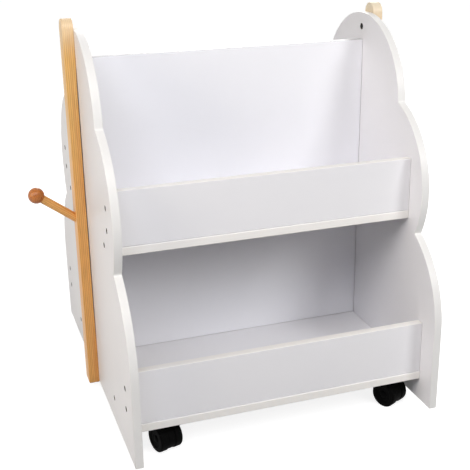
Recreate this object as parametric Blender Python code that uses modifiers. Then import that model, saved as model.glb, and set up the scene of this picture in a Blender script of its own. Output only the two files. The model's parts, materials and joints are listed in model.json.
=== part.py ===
"""Tree bookcase: a double-sided children's bookcase on four twin-wheel castors.

Metres, +Z up. The origin lies on the floor, halfway between the side panels and under the centre
divider. The front faces -Y. Sides are called left (-X) and right (+X) as seen from the front.
"""

import math

import bmesh
import bpy
from mathutils import Matrix, Vector

# Fits and edges
FIT = 0.0003                  # gap between pieces that touch
BOARD_EASE = 0.0012           # chamfer on the edges of the painted boards
TRUNK_EASE = 0.0020           # chamfer on the edges of the trunk bars
EASED_FROM = math.radians(50)     # edges that turn by more than this are chamfered
SHARP_FROM = math.radians(40)     # edges that turn by more than this are shaded sharp
FLAT_BELOW = math.radians(1)      # faces that turn by less than this are one face
WELD = 0.00001                # points closer than this are one point

# Boards
CLEAR_WIDTH = 0.550           # between the inner faces of the side panels
PANEL_THICKNESS = 0.015
DIVIDER_THICKNESS = 0.015
DIVIDER_DROP = 0.051          # divider's top below the top of the side panels
SHELF_THICKNESS = 0.015
BOTTOM_INSET = 0.0405         # bottom board's edge behind the foot of the side panels
SHELF_INSET = 0.0427          # upper shelf's edge behind the widest point of the middle lobe
LOWER_TIER_CLEARANCE = 0.285  # bottom board to the underside of the upper shelf
LIP_THICKNESS = 0.015
LOWER_LIP_HEIGHT = 0.101
UPPER_LIP_HEIGHT = 0.099
LIP_SETBACK = 0.002           # lip's face behind the shelf's edge

# Side panel outline: three stacked lobes on each side of the centre line
PANEL_DEPTH = 0.671           # across the straight foot
PANEL_BELOW_BOARD = 0.0437    # foot of the panel below the underside of the bottom board
TOP_LOBE_RADIUS = 0.1600
TOP_LOBE_HEIGHT = 0.5360      # lobe centres are measured from the panel's foot
MIDDLE_LOBE_RADIUS = 0.1630
MIDDLE_LOBE_REACH = 0.2635    # widest point of the middle lobe, from the centre line
MIDDLE_LOBE_HEIGHT = 0.3970
BOTTOM_LOBE_RADIUS = 0.1860
BOTTOM_LOBE_HEIGHT = 0.1610
LOBE_STEP = math.radians(7.5)

# Trunk bars on the outer faces of the side panels
TRUNK_THICKNESS = 0.020
TRUNK_WIDTH = 0.036
TRUNK_ABOVE_PANEL = 0.018     # round top above the top lobe
TRUNK_TOP_STEPS = 14

# Branch peg and ball
PEG_DIAMETER = 0.016
PEG_ANGLE = math.radians(36.5)
PEG_HEIGHT = 0.347            # where its axis leaves the trunk's face, above the panel's foot
PEG_REACH = 0.085             # along the axis, from the trunk's face to the centre of the ball
PEG_COVER = 0.0055            # wood left behind the peg's end in the trunk
PEG_STEPS = 16
BALL_DIAMETER = 0.030
BALL_GRIP = 0.0037            # depth of the ball's hole at its rim
BALL_RINGS = 10

# Panel screws, sunk flush in the outer faces
SCREW_HEAD_DIAMETER = 0.008
SCREW_HEAD_DEPTH = 0.0025
SCREW_HEAD_RIM = 0.0017       # straight edge of the head above its taper
SCREW_SHANK_DIAMETER = 0.006
SCREW_BITE = 0.033            # shank inside the board that it holds
SCREW_POINT = 0.004           # tapered end of the shank
SCREW_SOCKET = 0.004          # across the flats
SCREW_SOCKET_DEPTH = 0.002
SHELF_SCREW_INSET = 0.0438    # behind the upper shelf's edge
LIP_SCREW_SPACING = 0.040
SCREW_STEPS = 8

# Trunk bolts, sunk in the inner faces of the side panels
BOLT_HEAD_DIAMETER = 0.010
BOLT_HEAD_DEPTH = 0.0035
BOLT_HEAD_RIM = 0.0025
BOLT_RECESS = 0.0015          # head below the panel's face
BOLT_SHANK_DIAMETER = 0.006
BOLT_COVER = 0.0098           # wood left between the bolt's end and the trunk's outer face
BOLT_POINT = 0.003
BOLT_SOCKET = 0.004
BOLT_SOCKET_DEPTH = 0.0022
UPPER_BOLT_DROP = 0.027       # below the top of the panel
LOWER_BOLT_RISE = 0.021       # above the foot of the panel

# Castor wheels
WHEEL_DIAMETER = 0.050
WHEEL_WIDTH = 0.0145
WHEEL_GAP = 0.0150            # between the two wheels of a castor
WHEEL_ROUND = 0.0030          # rounding of the tread's outer edge
WHEEL_RIM = 0.0032            # flat ring between the rounded edge and the dish
WHEEL_DISH = 0.0012           # hollow in the outer wall
WHEEL_CAP = 0.0035            # closed outer wall of a wheel
WHEEL_STEPS = 24
AXLE_DIAMETER = 0.008

# Castor bodies and mount plates
CASTOR_TRAIL = 0.018          # axle ahead of the swivel axis
CASTOR_TURNS = {"front_left": math.radians(16.5), "front_right": math.radians(26),
                "rear_left": math.radians(21), "rear_right": math.radians(21)}
SWING_CLEARANCE = 0.0038      # between the swivelling wheels and the side panel
CASTOR_EDGE_INSET = 0.0502    # swivel axis from the bottom board's edge
WEB_CLEARANCE = 0.0008        # between a wheel and the body's web
HOOD_CLEARANCE = 0.0018       # between the tread and the hood
HOOD_WALL = 0.0024
HOOD_START = math.radians(20)
HOOD_END = math.radians(128)
HOOD_STEP = math.radians(12)
HOOD_LAP = math.radians(4)    # hood's ends past the web's
WEB_RISE = 0.0012             # web's lowest point above the floor
BOSS_INSET = 0.00035          # boss's side inside the web's face
BOSS_WALL = 0.00255           # round the king pin
BOSS_FLOOR = 0.011            # below the king pin
BOSS_STEPS = 12
KING_PIN_LENGTH = 0.016
COLLAR_DIAMETER = 0.0150
COLLAR_DEPTH = 0.0012
PLATE_SIDE = 0.036
PLATE_THICKNESS = 0.0022
PLATE_CORNER = 0.005
PLATE_HOLE_DIAMETER = 0.0045
PLATE_HOLE_INSET = 0.0050     # hole's centre from the plate's edges
PLATE_CLEARANCE = 0.0046      # hood to plate
HOLE_STEPS = 8

# Castor sizes that follow from the ones above
WHEEL_RADIUS = WHEEL_DIAMETER / 2
CASTOR_WIDTH = 2 * WHEEL_WIDTH + WHEEL_GAP
CASTOR_SWING = math.hypot(CASTOR_TRAIL + WHEEL_RADIUS, CASTOR_WIDTH / 2)
HOOD_INNER = WHEEL_RADIUS + HOOD_CLEARANCE
HOOD_OUTER = HOOD_INNER + HOOD_WALL
WEB_THICKNESS = WHEEL_GAP - 2 * WEB_CLEARANCE
BOSS_DIAMETER = WEB_THICKNESS - 2 * BOSS_INSET
KING_PIN_DIAMETER = BOSS_DIAMETER - 2 * (BOSS_WALL + FIT)
PLATE_UNDERSIDE = WHEEL_RADIUS + HOOD_OUTER + PLATE_CLEARANCE
COLLAR_FOOT = PLATE_UNDERSIDE - COLLAR_DEPTH
KING_PIN_FOOT = COLLAR_FOOT - KING_PIN_LENGTH

# Heights and places that follow from the sizes above
BOTTOM_UNDERSIDE = PLATE_UNDERSIDE + PLATE_THICKNESS + FIT
BOTTOM_TOP = BOTTOM_UNDERSIDE + SHELF_THICKNESS
UPPER_UNDERSIDE = BOTTOM_TOP + LOWER_TIER_CLEARANCE
UPPER_TOP = UPPER_UNDERSIDE + SHELF_THICKNESS
PANEL_FOOT = BOTTOM_UNDERSIDE - PANEL_BELOW_BOARD
PANEL_HEIGHT = TOP_LOBE_HEIGHT + TOP_LOBE_RADIUS
PANEL_TOP = PANEL_FOOT + PANEL_HEIGHT
DIVIDER_FOOT = BOTTOM_TOP + FIT
DIVIDER_HEIGHT = PANEL_TOP - DIVIDER_DROP - DIVIDER_FOOT
BOARD_LENGTH = CLEAR_WIDTH - 2 * FIT
PANEL_INNER = CLEAR_WIDTH / 2
PANEL_OUTER = PANEL_INNER + PANEL_THICKNESS
TRUNK_OUTER = PANEL_OUTER + FIT + TRUNK_THICKNESS
BOTTOM_REACH = PANEL_DEPTH / 2 - BOTTOM_INSET
UPPER_REACH = MIDDLE_LOBE_REACH - SHELF_INSET
UPPER_SHELF_DEPTH = UPPER_REACH - DIVIDER_THICKNESS / 2 - FIT
SHELF_SCREW_REACH = UPPER_REACH - SHELF_SCREW_INSET
SCREW_LENGTH = PANEL_THICKNESS + FIT + SCREW_BITE
BOLT_LENGTH = PANEL_THICKNESS - BOLT_RECESS + FIT + TRUNK_THICKNESS - BOLT_COVER

# The peg's ends, along its axis from the trunk's face: one covered by the trunk, one in the ball
PEG_SEAT = (TRUNK_THICKNESS - PEG_COVER - PEG_DIAMETER / 2 * math.sin(PEG_ANGLE)) / math.cos(PEG_ANGLE)
BALL_RIM = math.sqrt(BALL_DIAMETER ** 2 - PEG_DIAMETER ** 2) / 2
PEG_END = PEG_REACH - BALL_RIM + BALL_GRIP

SIDES = {"left": -1, "right": 1}
ENDS = {"front": -1, "rear": 1}

# Turns a shape drawn in XY with its thickness along Z so that it stands in YZ
STANDING = Matrix(((0, 0, 1), (1, 0, 0), (0, 1, 0))).to_4x4()


def clear_scene():
    for obj in list(bpy.data.objects):
        bpy.data.objects.remove(obj)


def make_collection(name):
    collection = bpy.data.collections.new(name)
    bpy.context.scene.collection.children.link(collection)
    return collection


def make_material(name, colour, roughness, metallic=0.0):
    material = bpy.data.materials.new(name)
    material.use_nodes = True
    shader = material.node_tree.nodes["Principled BSDF"]
    shader.inputs["Base Color"].default_value = (*colour, 1.0)
    shader.inputs["Roughness"].default_value = roughness
    shader.inputs["Metallic"].default_value = metallic
    return material


def add_part(name, mesh, material, place=Matrix(), parent=None):
    """One named sub-part. Its mesh may be shared with another copy of the same piece."""
    if not mesh.materials:
        mesh.materials.append(material)
    part = bpy.data.objects.new(name, mesh)
    PARTS.objects.link(part)
    part.parent = parent
    part.matrix_local = place
    return part


def add_cutter(name, mesh):
    cutter = bpy.data.objects.new(name, mesh)
    CUTTERS.objects.link(cutter)
    cutter.hide_render = True
    cutter.display_type = "WIRE"
    return cutter


def ease_edges(part, width):
    bevel = part.modifiers.new("eased edges", "BEVEL")
    bevel.width = width
    bevel.segments = 1
    bevel.limit_method = "ANGLE"
    bevel.angle_limit = EASED_FROM


def combine(part, other, operation):
    boolean = part.modifiers.new(other.name, "BOOLEAN")
    boolean.operation = operation
    boolean.solver = "EXACT"
    boolean.object = other


def bake(part):
    """The part's evaluated mesh in its own frame; the part itself is removed."""
    bpy.context.view_layer.update()
    evaluated = part.evaluated_get(bpy.context.evaluated_depsgraph_get())
    mesh = bpy.data.meshes.new_from_object(evaluated)
    bpy.data.objects.remove(part)
    return mesh


def shaped(part, steps):
    """Bakes a part after a row of (mesh, Boolean operation) steps; the tools are removed with it."""
    tools = []
    for mesh, operation in steps:
        tools.append(add_cutter(mesh.name, mesh))
        combine(part, tools[-1], operation)
    mesh = bake(part)
    for tool in tools:
        bpy.data.objects.remove(tool)
    return mesh


def box_mesh(name, size):
    shape = bmesh.new()
    bmesh.ops.create_cube(shape, size=1.0)
    bmesh.ops.scale(shape, vec=Vector(size), verts=shape.verts)
    mesh = bpy.data.meshes.new(name)
    shape.to_mesh(mesh)
    shape.free()
    return mesh


def rod_mesh(name, diameter, length, steps):
    """A cylinder on the Z axis, from the origin upwards."""
    shape = bmesh.new()
    bmesh.ops.create_cone(shape, cap_ends=True, segments=steps, radius1=diameter / 2,
                          radius2=diameter / 2, depth=length)
    bmesh.ops.translate(shape, vec=(0, 0, length / 2), verts=shape.verts)
    mesh = bpy.data.meshes.new(name)
    shape.to_mesh(mesh)
    shape.free()
    return mesh


def turned_mesh(name, profile, steps):
    """Turns (radius, height) points, listed from the top down, about the Z axis."""
    mesh = bpy.data.meshes.new(name)
    points = [(radius, 0.0, height) for radius, height in profile]
    mesh.from_pydata(points, [(i, i + 1) for i in range(len(points) - 1)], [])
    blank = bpy.data.objects.new(name, mesh)
    CUTTERS.objects.link(blank)
    screw = blank.modifiers.new("turning", "SCREW")
    screw.steps = steps
    screw.render_steps = steps
    screw.use_merge_vertices = True
    screw.merge_threshold = WELD
    return bake(blank)


def outline_mesh(name, points, thickness):
    """A flat plate in XY, centred on Z = 0, from a closed outline."""
    curve = bpy.data.curves.new(name, "CURVE")
    curve.dimensions = "2D"
    curve.fill_mode = "BOTH"
    curve.extrude = thickness / 2
    spline = curve.splines.new("POLY")
    spline.points.add(len(points) - 1)
    for point, (x, y) in zip(spline.points, points):
        point.co = (x, y, 0, 1)
    spline.use_cyclic_u = True
    blank = bpy.data.objects.new(name, curve)
    CUTTERS.objects.link(blank)
    mesh = bake(blank)
    shape = bmesh.new()
    shape.from_mesh(mesh)
    bmesh.ops.remove_doubles(shape, verts=shape.verts, dist=WELD)
    bmesh.ops.dissolve_limit(shape, angle_limit=FLAT_BELOW, verts=shape.verts, edges=shape.edges)
    bmesh.ops.recalc_face_normals(shape, faces=shape.faces)
    shape.to_mesh(mesh)
    shape.free()
    return mesh


def merged_mesh(name, placed):
    """One mesh of several (mesh, matrix) pairs, which stay separate bodies."""
    shape = bmesh.new()
    for mesh, matrix in placed:
        copy = mesh.copy()
        copy.transform(matrix)
        shape.from_mesh(copy)
        bpy.data.meshes.remove(copy)
    merged = bpy.data.meshes.new(name)
    shape.to_mesh(merged)
    shape.free()
    return merged


def smooth(mesh):
    mesh.shade_smooth()
    mesh.set_sharp_from_angle(angle=SHARP_FROM)


def at(x, y, z):
    return Matrix.Translation((x, y, z))


def pointing(direction):
    """Turns the Z axis to the given direction."""
    return Vector(direction).to_track_quat("Z", "Y").to_matrix().to_4x4()


def arc(centre, radius, start, end, step):
    """Points on an arc, both ends included, no further apart than the step."""
    count = max(2, math.ceil(abs(end - start) / step))
    angles = [start + (end - start) * i / count for i in range(count + 1)]
    return [(centre[0] + radius * math.cos(a), centre[1] + radius * math.sin(a)) for a in angles]


def outer_crossing(centre_a, radius_a, centre_b, radius_b):
    """The crossing of two circles that lies further out and up."""
    a, b = Vector(centre_a), Vector(centre_b)
    apart = (b - a).length
    along = (apart ** 2 + radius_a ** 2 - radius_b ** 2) / (2 * apart)
    across = math.sqrt(radius_a ** 2 - along ** 2)
    middle = a + (b - a) * along / apart
    square = Vector((-(b - a).y, (b - a).x)) / apart
    return max(middle + square * across, middle - square * across, key=sum)


def bearing(centre, point):
    return math.atan2(point[1] - centre[1], point[0] - centre[0])


def panel_outline():
    """Tree outline in (depth, height above the foot), anticlockwise from the foot's rear corner."""
    half_depth = PANEL_DEPTH / 2
    top = (0.0, TOP_LOBE_HEIGHT)
    middle = (MIDDLE_LOBE_REACH - MIDDLE_LOBE_RADIUS, MIDDLE_LOBE_HEIGHT)
    bottom = (half_depth - BOTTOM_LOBE_RADIUS, BOTTOM_LOBE_HEIGHT)
    upper_notch = outer_crossing(top, TOP_LOBE_RADIUS, middle, MIDDLE_LOBE_RADIUS)
    lower_notch = outer_crossing(middle, MIDDLE_LOBE_RADIUS, bottom, BOTTOM_LOBE_RADIUS)
    half = [(half_depth, 0.0)]
    half += arc(bottom, BOTTOM_LOBE_RADIUS, 0.0, bearing(bottom, lower_notch), LOBE_STEP)
    half += arc(middle, MIDDLE_LOBE_RADIUS, bearing(middle, lower_notch), bearing(middle, upper_notch),
                LOBE_STEP)[1:]
    half += arc(top, TOP_LOBE_RADIUS, bearing(top, upper_notch), math.pi / 2, LOBE_STEP)[1:]
    other_half = [(-depth, height) for depth, height in reversed(half[:-1])]
    return half + other_half


def trunk_outline():
    """Bar with a round top, in (depth, height above the panel's foot)."""
    radius = TRUNK_WIDTH / 2
    centre = (0.0, PANEL_HEIGHT + TRUNK_ABOVE_PANEL - radius)
    foot = [(-radius, 0.0), (radius, 0.0)]
    return foot + arc(centre, radius, 0.0, math.pi, math.pi / TRUNK_TOP_STEPS)


def fastener_profile(head, rim, head_depth, shank, length, point):
    """Sunk head with its face at Z = 0 and its shank going down."""
    return [(0.0, 0.0), (head / 2, 0.0), (head / 2, -rim), (shank / 2, -head_depth),
            (shank / 2, point - length), (shank / 4, -length), (0.0, -length)]


def fastener_mesh(name, profile, socket, socket_depth):
    """A turned screw with a six-sided socket in its head."""
    blank = bpy.data.objects.new(name, turned_mesh(name, profile, SCREW_STEPS))
    CUTTERS.objects.link(blank)
    across_corners = socket / math.cos(math.pi / 6)
    key = rod_mesh(name + "_key", across_corners, 2 * socket_depth, 6)
    key.transform(at(0, 0, -socket_depth))
    mesh = shaped(blank, ((key, "DIFFERENCE"),))
    smooth(mesh)
    return mesh


def fastener_bore(name, profile, recess=0.0):
    """The hole for a fastener: its own profile with the fit added all round, open above its head."""
    head, shank = profile[2], profile[4]
    tip = profile[-1]
    above = recess + 2 * FIT
    points = [(0.0, above), (head[0] + FIT, above), (head[0] + FIT, head[1] - FIT),
              (shank[0] + FIT, profile[3][1] - FIT), (shank[0] + FIT, tip[1] - FIT), (0.0, tip[1] - FIT)]
    return turned_mesh(name, points, SCREW_STEPS)


SCREW_PROFILE = fastener_profile(SCREW_HEAD_DIAMETER, SCREW_HEAD_RIM, SCREW_HEAD_DEPTH,
                                 SCREW_SHANK_DIAMETER, SCREW_LENGTH, SCREW_POINT)
BOLT_PROFILE = fastener_profile(BOLT_HEAD_DIAMETER, BOLT_HEAD_RIM, BOLT_HEAD_DEPTH,
                                BOLT_SHANK_DIAMETER, BOLT_LENGTH, BOLT_POINT)


def screw_places():
    """Name, depth and height of every panel screw on one side, with the board that it holds."""
    places = []
    for end, sign in ENDS.items():
        depth = sign * SHELF_SCREW_REACH
        places.append((f"{end}_bottom", "bottom_board", depth, BOTTOM_TOP - SHELF_THICKNESS / 2))
        places.append((f"{end}_shelf", f"upper_shelf_{end}", depth, UPPER_TOP - SHELF_THICKNESS / 2))
        for tier, lip in lips().items():
            middle = lip["foot"] + lip["height"] / 2
            depth = sign * (lip["front"] - LIP_THICKNESS / 2)
            for level, offset in (("high", 0.5), ("low", -0.5)):
                name = f"{end}_{tier}_lip_{level}"
                places.append((name, f"{tier}_lip_{end}", depth, middle + offset * LIP_SCREW_SPACING))
    return places


def lips():
    """Where the lip boards stand: their face's distance from the centre plane, foot and height."""
    return {
        "lower": {"front": BOTTOM_REACH - LIP_SETBACK, "foot": BOTTOM_TOP + FIT, "height": LOWER_LIP_HEIGHT},
        "upper": {"front": UPPER_REACH - LIP_SETBACK, "foot": UPPER_TOP + FIT, "height": UPPER_LIP_HEIGHT},
    }


def screw_matrix(sign, depth, height):
    """Head flush with the outer face, shank pointing to the middle of the bookcase."""
    return at(sign * PANEL_OUTER, depth, height) @ pointing((sign, 0, 0))


def bolt_places():
    """Height of each trunk bolt, on the panel's centre line."""
    return {"upper": PANEL_TOP - UPPER_BOLT_DROP, "lower": PANEL_FOOT + LOWER_BOLT_RISE}


def bolt_matrix(sign, height):
    """Head sunk in the inner face, shank pointing outwards into the trunk."""
    return at(sign * (PANEL_INNER + BOLT_RECESS), 0, height) @ pointing((-sign, 0, 0))


def cut_with(part, bores):
    """Cuts placed bores, a list of (mesh, matrix) pairs, out of a part."""
    name = part.name + "_bores"
    combine(part, add_cutter(name, merged_mesh(name, bores)), "DIFFERENCE")


def make_side_panels():
    mesh = outline_mesh("side_panel", panel_outline(), PANEL_THICKNESS)
    for side, sign in SIDES.items():
        centre = at(sign * (PANEL_INNER + PANEL_THICKNESS / 2), 0, PANEL_FOOT)
        panel = add_part(f"side_panel_{side}", mesh, PAINT, centre @ STANDING)
        ease_edges(panel, BOARD_EASE)
        bores = [(SCREW_BORE, screw_matrix(sign, depth, height)) for _, _, depth, height in screw_places()]
        bores += [(BOLT_BORE, bolt_matrix(sign, height)) for height in bolt_places().values()]
        cut_with(panel, bores)


def make_board(name, size, centre):
    """A painted board between the side panels, drilled in its ends for the panel screws."""
    board = add_part(name, box_mesh(name, size), PAINT, at(*centre))
    ease_edges(board, BOARD_EASE)
    bores = [(SCREW_BORE, screw_matrix(sign, depth, height))
             for sign in SIDES.values()
             for _, held, depth, height in screw_places() if held == name]
    if bores:
        cut_with(board, bores)


def make_boards():
    make_board("bottom_board", (BOARD_LENGTH, 2 * BOTTOM_REACH, SHELF_THICKNESS),
               (0, 0, BOTTOM_TOP - SHELF_THICKNESS / 2))
    make_board("centre_divider", (BOARD_LENGTH, DIVIDER_THICKNESS, DIVIDER_HEIGHT),
               (0, 0, DIVIDER_FOOT + DIVIDER_HEIGHT / 2))
    for end, sign in ENDS.items():
        shelf_centre = sign * (UPPER_REACH - UPPER_SHELF_DEPTH / 2)
        make_board(f"upper_shelf_{end}", (BOARD_LENGTH, UPPER_SHELF_DEPTH, SHELF_THICKNESS),
                   (0, shelf_centre, UPPER_TOP - SHELF_THICKNESS / 2))
        for tier, lip in lips().items():
            make_board(f"{tier}_lip_{end}", (BOARD_LENGTH, LIP_THICKNESS, lip["height"]),
                       (0, sign * (lip["front"] - LIP_THICKNESS / 2), lip["foot"] + lip["height"] / 2))


def make_panel_screws():
    mesh = fastener_mesh("panel_screw", SCREW_PROFILE, SCREW_SOCKET, SCREW_SOCKET_DEPTH)
    for side, sign in SIDES.items():
        for name, _, depth, height in screw_places():
            add_part(f"screw_{side}_{name}", mesh, ZINC, screw_matrix(sign, depth, height))


def peg_axis(sign):
    """Direction of the branch peg, rising outwards from the trunk."""
    return Vector((sign * math.cos(PEG_ANGLE), 0, math.sin(PEG_ANGLE)))


def peg_matrix(sign, along):
    """Frame on the peg's axis, with Z along the peg, at a distance from the trunk's outer face."""
    base = Vector((sign * TRUNK_OUTER, 0, PANEL_FOOT + PEG_HEIGHT))
    return Matrix.Translation(base + peg_axis(sign) * along) @ pointing(peg_axis(sign))


def make_trunks():
    mesh = outline_mesh("trunk", trunk_outline(), TRUNK_THICKNESS)
    peg_bore = rod_mesh("peg_bore", PEG_DIAMETER + 2 * FIT, PEG_SEAT + FIT + PEG_DIAMETER, PEG_STEPS)
    for side, sign in SIDES.items():
        centre = at(sign * (TRUNK_OUTER - TRUNK_THICKNESS / 2), 0, PANEL_FOOT)
        trunk = add_part(f"trunk_{side}", mesh, PINE, centre @ STANDING)
        ease_edges(trunk, TRUNK_EASE)
        bores = [(BOLT_BORE, bolt_matrix(sign, height)) for height in bolt_places().values()]
        bores.append((peg_bore, peg_matrix(sign, -PEG_SEAT - FIT)))
        cut_with(trunk, bores)


def make_trunk_bolts():
    mesh = fastener_mesh("trunk_bolt", BOLT_PROFILE, BOLT_SOCKET, BOLT_SOCKET_DEPTH)
    for side, sign in SIDES.items():
        for level, height in bolt_places().items():
            add_part(f"trunk_bolt_{side}_{level}", mesh, STEEL, bolt_matrix(sign, height))


def make_branches():
    """A peg in each trunk, with a drilled ball on its end."""
    peg = rod_mesh("branch_peg", PEG_DIAMETER, PEG_SEAT + PEG_END, PEG_STEPS)
    smooth(peg)
    ball_shape = bmesh.new()
    bmesh.ops.create_uvsphere(ball_shape, u_segments=PEG_STEPS, v_segments=BALL_RINGS,
                              radius=BALL_DIAMETER / 2)
    ball = bpy.data.meshes.new("branch_ball")
    ball_shape.to_mesh(ball)
    ball_shape.free()
    smooth(ball)
    ball_bore = rod_mesh("ball_bore", PEG_DIAMETER + 2 * FIT, BALL_DIAMETER, PEG_STEPS)
    for side, sign in SIDES.items():
        add_part(f"branch_peg_{side}", peg, PINE, peg_matrix(sign, -PEG_SEAT))
        drilled = add_part(f"branch_ball_{side}", ball, BEECH, peg_matrix(sign, PEG_REACH))
        cut_with(drilled, [(ball_bore, peg_matrix(sign, PEG_END + FIT - BALL_DIAMETER))])


def castor_frames():
    """Name, place of the swivel axis on the floor, for each castor."""
    frames = []
    for end, depth_sign in ENDS.items():
        for side, side_sign in SIDES.items():
            x = side_sign * (PANEL_INNER - CASTOR_SWING - SWING_CLEARANCE)
            y = depth_sign * (BOTTOM_REACH - CASTOR_EDGE_INSET)
            frames.append((f"{end}_{side}", at(x, y, 0)))
    return frames


def plate_outline():
    """Square plate with round corners."""
    inset = PLATE_SIDE / 2 - PLATE_CORNER
    corners = ((inset, inset), (-inset, inset), (-inset, -inset), (inset, -inset))
    points = []
    for turn, corner in enumerate(corners):
        start = turn * math.pi / 2
        points += arc(corner, PLATE_CORNER, start, start + math.pi / 2, math.pi / 6)
    return points


def castor_plate_mesh():
    """Mount plate with its king pin hanging below, in the frame of the swivel axis."""
    outline = outline_mesh("castor_plate", plate_outline(), PLATE_THICKNESS)
    middle = PLATE_UNDERSIDE + PLATE_THICKNESS / 2
    outline.transform(at(0, 0, middle))
    plate = bpy.data.objects.new("castor_plate", outline)
    CUTTERS.objects.link(plate)
    collar, pin_radius = COLLAR_DIAMETER / 2, KING_PIN_DIAMETER / 2
    profile = [(0.0, middle), (collar, middle), (collar, COLLAR_FOOT), (pin_radius, COLLAR_FOOT),
               (pin_radius, KING_PIN_FOOT), (0.0, KING_PIN_FOOT)]
    pin = turned_mesh("king_pin", profile, BOSS_STEPS)
    hole = rod_mesh("plate_hole", PLATE_HOLE_DIAMETER, 3 * PLATE_THICKNESS, HOLE_STEPS)
    reach = PLATE_SIDE / 2 - PLATE_HOLE_INSET
    places = [at(x, y, PLATE_UNDERSIDE - PLATE_THICKNESS) for x in (-reach, reach) for y in (-reach, reach)]
    holes = merged_mesh("plate_holes", [(hole, place) for place in places])
    return shaped(plate, ((pin, "UNION"), (holes, "DIFFERENCE")))


def castor_web_outline():
    """Disc between the wheels, about the axle, which reaches into the hood along its arc."""
    embedded = HOOD_INNER + HOOD_WALL / 2
    start, end = HOOD_START + HOOD_LAP, HOOD_END - HOOD_LAP
    sector = arc((0, 0), embedded, start, end, HOOD_STEP)
    return sector + arc((0, 0), WHEEL_RADIUS - WEB_RISE, end, start + 2 * math.pi, HOOD_STEP)


def castor_hood_outline():
    outside = arc((0, 0), HOOD_OUTER, HOOD_START, HOOD_END, HOOD_STEP)
    inside = arc((0, 0), HOOD_INNER, HOOD_END, HOOD_START, HOOD_STEP)
    return outside + inside


def castor_body_mesh():
    """Hood, web, swivel boss and stub axles as one moulding, in the frame of the swivel axis."""
    axle_place = at(0, -CASTOR_TRAIL, WHEEL_RADIUS) @ STANDING
    hood = outline_mesh("castor_hood", castor_hood_outline(), CASTOR_WIDTH)
    hood.transform(axle_place)
    body = bpy.data.objects.new("castor_body", hood)
    CUTTERS.objects.link(body)
    web = outline_mesh("castor_web", castor_web_outline(), WEB_THICKNESS)
    web.transform(axle_place)
    boss_top = COLLAR_FOOT - FIT
    bore_foot = KING_PIN_FOOT - FIT
    boss_foot = bore_foot - BOSS_FLOOR
    boss = rod_mesh("castor_boss", BOSS_DIAMETER, boss_top - boss_foot, BOSS_STEPS)
    boss.transform(at(0, 0, boss_foot))
    axle_length = CASTOR_WIDTH - 2 * (WHEEL_CAP + FIT)
    axle = rod_mesh("castor_axle", AXLE_DIAMETER, axle_length, BOSS_STEPS)
    axle.transform(axle_place @ at(0, 0, -axle_length / 2))
    bore = rod_mesh("king_pin_bore", KING_PIN_DIAMETER + 2 * FIT, 2 * KING_PIN_LENGTH, BOSS_STEPS)
    bore.transform(at(0, 0, bore_foot))
    moulding = shaped(body, ((web, "UNION"), (boss, "UNION"), (axle, "UNION"), (bore, "DIFFERENCE")))
    smooth(moulding)
    return moulding


def wheel_mesh():
    """A wheel about Z, its open inner face at Z = 0; flats of the faceted tread lie at the true radius."""
    tread = WHEEL_RADIUS / math.cos(math.pi / WHEEL_STEPS)
    shoulder = tread - WHEEL_ROUND
    dish = shoulder - WHEEL_RIM
    dish_floor = WHEEL_WIDTH - WHEEL_DISH
    bore = AXLE_DIAMETER / 2 + FIT
    bore_end = WHEEL_WIDTH - WHEEL_CAP
    round_middle = WHEEL_ROUND * (1 - math.sqrt(0.5))
    profile = [(0.0, dish_floor), (dish - WHEEL_DISH, dish_floor), (dish, WHEEL_WIDTH),
               (shoulder, WHEEL_WIDTH), (tread - round_middle, WHEEL_WIDTH - round_middle),
               (tread, WHEEL_WIDTH - WHEEL_ROUND), (tread, 0.0), (bore, 0.0), (bore, bore_end),
               (0.0, bore_end)]
    mesh = turned_mesh("castor_wheel", profile, WHEEL_STEPS)
    mesh.transform(Matrix.Rotation(math.pi / WHEEL_STEPS, 4, "Z"))
    smooth(mesh)
    return mesh


def make_castors():
    plate, body, wheel = castor_plate_mesh(), castor_body_mesh(), wheel_mesh()
    for name, place in castor_frames():
        add_part(f"castor_plate_{name}", plate, STEEL, place)
        swivel = bpy.data.objects.new(f"castor_swivel_{name}", None)
        PARTS.objects.link(swivel)
        swivel.matrix_world = place @ Matrix.Rotation(CASTOR_TURNS[name], 4, "Z")
        add_part(f"castor_body_{name}", body, NYLON, parent=swivel)
        for side, sign in SIDES.items():
            wheel_place = at(sign * WHEEL_GAP / 2, -CASTOR_TRAIL, WHEEL_RADIUS) @ pointing((sign, 0, 0))
            add_part(f"castor_wheel_{name}_{side}", wheel, NYLON, wheel_place, swivel)


clear_scene()
PARTS = make_collection("tree_bookcase")
CUTTERS = make_collection("cutters")
PAINT = make_material("white_painted_board", (0.86, 0.85, 0.86), 0.45)
PINE = make_material("lacquered_pine", (0.64, 0.36, 0.12), 0.45)
BEECH = make_material("stained_beech", (0.48, 0.19, 0.05), 0.40)
ZINC = make_material("zinc_plated_steel", (0.60, 0.60, 0.62), 0.35, 1.0)
STEEL = make_material("blackened_steel", (0.10, 0.10, 0.10), 0.45, 1.0)
NYLON = make_material("black_nylon", (0.012, 0.012, 0.013), 0.45)
SCREW_BORE = fastener_bore("screw_bore", SCREW_PROFILE)
BOLT_BORE = fastener_bore("bolt_bore", BOLT_PROFILE, BOLT_RECESS)

make_side_panels()
make_boards()
make_panel_screws()
make_trunks()
make_trunk_bolts()
make_branches()
make_castors()
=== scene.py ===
"""Looks of the tree bookcase: lacquered boards, pine trunks with turned branches, screws and castors.

Sizes are in metres, in the frame's own axes: the front faces -Y, left is -X, and +Z is up.
"""

import json
import math

import bmesh
import bpy
from mathutils import Matrix, Vector


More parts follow.
